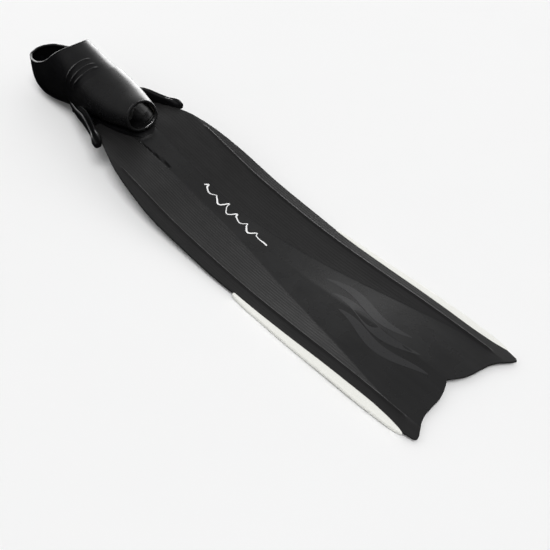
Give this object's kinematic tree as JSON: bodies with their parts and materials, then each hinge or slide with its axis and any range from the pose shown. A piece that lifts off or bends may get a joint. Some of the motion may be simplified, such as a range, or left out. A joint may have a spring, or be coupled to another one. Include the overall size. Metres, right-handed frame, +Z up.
{
  "type": "swim fin",
  "caption": "Long swim fin with a full-foot rubber pocket, a ribbed flexible blade with a notched tip, side tendons and light edge rails.",
  "frame": {"origin": "on the floor under the middle of the fin's bounding box", "axes": "+X from heel to blade tip, +Y to the wearer's left, +Z up"},
  "size_m": [0.902, 0.1984, 0.1262],
  "materials": {
    "soft_rubber": "soft satin moulded elastomer",
    "gloss_rubber": "glossy moulded rubber",
    "sole_rubber": "matt ribbed rubber",
    "tendon_rubber": "satin rubber",
    "blade_plastic": "satin black moulded plastic",
    "rail_rubber": "fine-grained off-white rubber",
    "screw_steel": "brushed stainless steel",
    "insert_brass": "plain turned brass"
  },
  "bodies": {
    "foot_pocket": {"heel_cup": "soft_rubber", "toe_vamp": "gloss_rubber", "sole_plate": "sole_rubber", "left_tendon": "tendon_rubber", "right_tendon": "tendon_rubber", "blade_inner": "blade_plastic", "blade_screws": "screw_steel", "screw_washers": "screw_steel", "threaded_inserts": "insert_brass"},
    "blade_tip": {"blade_outer": "blade_plastic", "left_edge_rail": "rail_rubber", "right_edge_rail": "rail_rubber"}
  },
  "joints": [
    {"name": "blade_flex", "type": "hinge", "parent": "foot_pocket", "child": "blade_tip", "pos_m": [0.07, 0, 0.0115], "axis": [0, -1, 0], "range_deg": [-20, 35], "stiffness_Nm_per_rad": 22}
  ]
}
